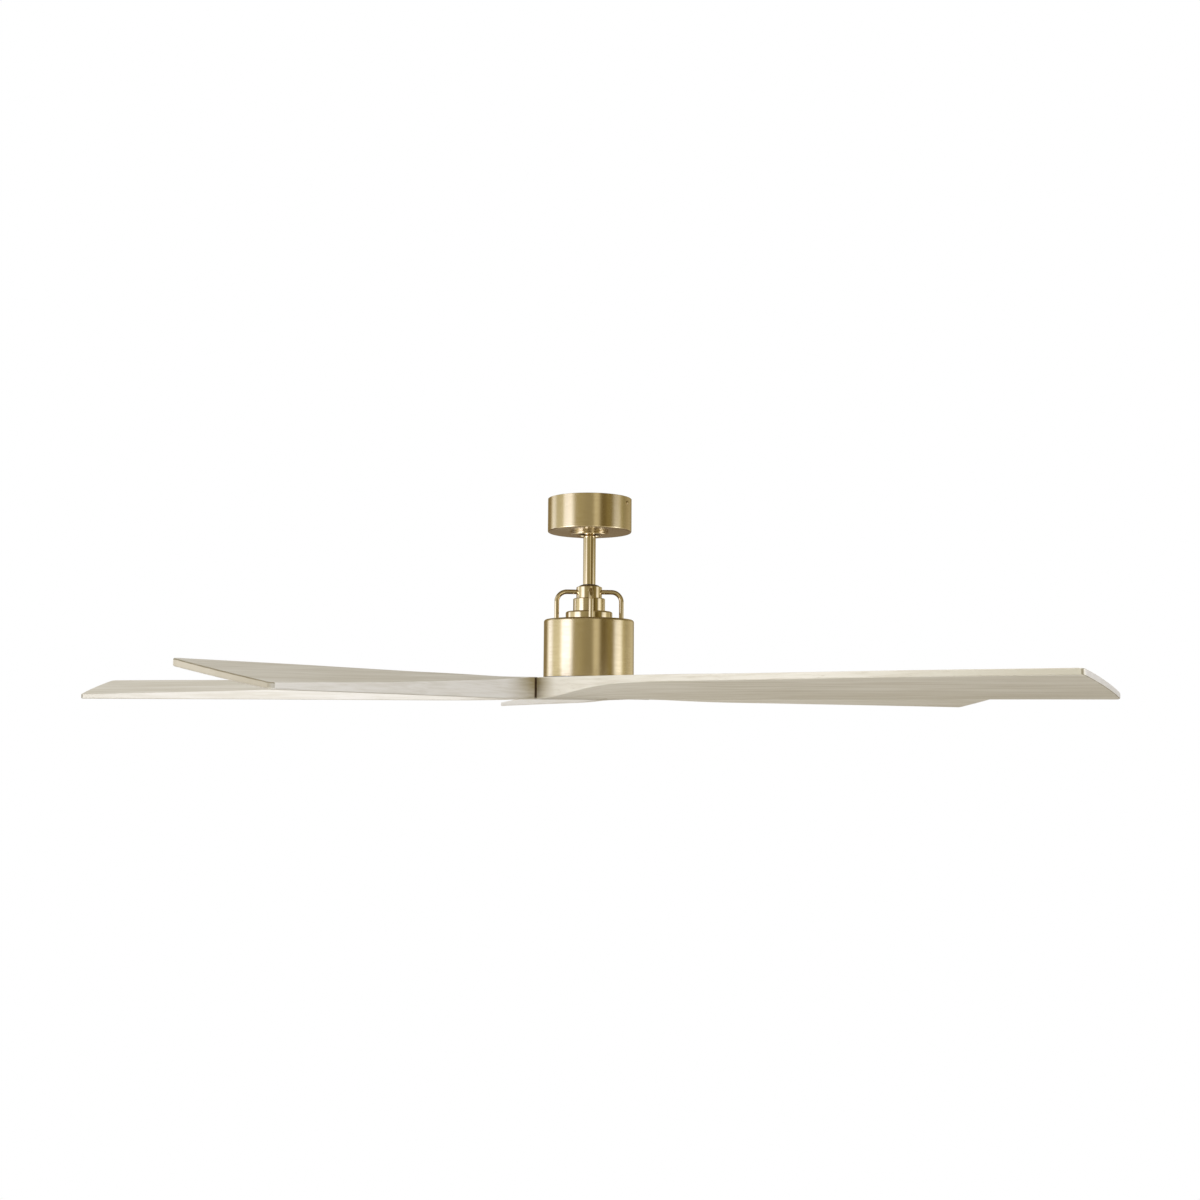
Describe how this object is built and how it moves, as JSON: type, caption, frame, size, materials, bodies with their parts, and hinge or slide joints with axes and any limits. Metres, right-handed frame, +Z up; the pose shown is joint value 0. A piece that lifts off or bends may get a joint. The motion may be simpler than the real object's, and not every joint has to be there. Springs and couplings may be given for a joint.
{
  "type": "ceiling fan",
  "caption": "Ceiling fan: cup canopy, ball-hung downrod, stepped collar with bent guard rods, drum motor housing and twisted wooden blades that meet under it.",
  "frame": {"origin": "on the ceiling plane, midway between the two screws that hold the bracket to the outlet box", "axes": "+Z up along the fan's axis into the ceiling, X through the two outlet box screws"},
  "size_m": [1.7151, 1.7159, 0.3462],
  "materials": {
    "satin_brass": "satin, fine rings",
    "zinc_steel": "zinc plated",
    "black_nylon": "moulded",
    "cast_aluminium": "as cast",
    "core_steel": "laminated",
    "pale_wood": "pale washed, matt",
    "copper_wire": "enamelled copper",
    "magnet_ceramic": "ground",
    "black_rubber": "matt",
    "pale_plastic": "moulded",
    "wood_screw_finish": "painted"
  },
  "bodies": {
    "mount": {"hanger_bracket": "zinc_steel", "canopy": "satin_brass", "canopy_ring": "satin_brass", "canopy_screws": "satin_brass", "receiver_module": "black_nylon", "terminal_block": "pale_plastic", "terminal_screws": "zinc_steel"},
    "seat": {"ball_seat": "black_nylon"},
    "hang": {"hanger_ball": "black_nylon", "ball_cross_pin": "zinc_steel", "ball_set_screw": "zinc_steel", "downrod": "satin_brass", "rod_gasket": "black_rubber", "collar_top": "satin_brass", "collar_middle": "satin_brass", "collar_flange": "satin_brass", "yoke": "zinc_steel", "yoke_clevis_pin": "zinc_steel", "pin_clip": "zinc_steel", "yoke_set_screws": "zinc_steel", "yoke_foot_screws": "zinc_steel", "guard_rod_right": "satin_brass", "guard_rod_back": "satin_brass", "guard_rod_left": "satin_brass", "guard_rod_front": "satin_brass", "guard_nuts": "zinc_steel", "motor_housing": "satin_brass", "backing_plate": "cast_aluminium", "motor_shaft": "zinc_steel", "shaft_circlips": "zinc_steel", "bearing_inner_races": "zinc_steel", "stator_core": "core_steel", "stator_windings": "copper_wire"},
    "rotor": {"bearing_outer_races": "zinc_steel", "bearing_balls": "zinc_steel", "rotor_lower_shell": "cast_aluminium", "rotor_upper_shell": "cast_aluminium", "shell_screws": "zinc_steel", "rotor_ring": "core_steel", "rotor_magnets": "magnet_ceramic", "hub_plate": "zinc_steel", "hub_plate_screws": "zinc_steel", "blade_1": "pale_wood", "blade_2": "pale_wood", "blade_3": "pale_wood", "blade_4": "pale_wood", "blade_5": "pale_wood", "blade_screws": "zinc_steel", "hub_cap": "pale_wood", "cap_screw": "wood_screw_finish"}
  },
  "joints": [
    {"name": "tilt_x", "type": "hinge", "parent": "mount", "child": "seat", "pos_m": [0, 0, -0.027], "axis": [1, 0, 0], "range_deg": [-8, 8]},
    {"name": "tilt_y", "type": "hinge", "parent": "seat", "child": "hang", "pos_m": [0, 0, -0.027], "axis": [0, 1, 0], "range_deg": [-8, 8]},
    {"name": "fan_spin", "type": "hinge", "parent": "hang", "child": "rotor", "pos_m": [0, 0, -0.267], "axis": [0, 0, 1], "continuous": true}
  ]
}
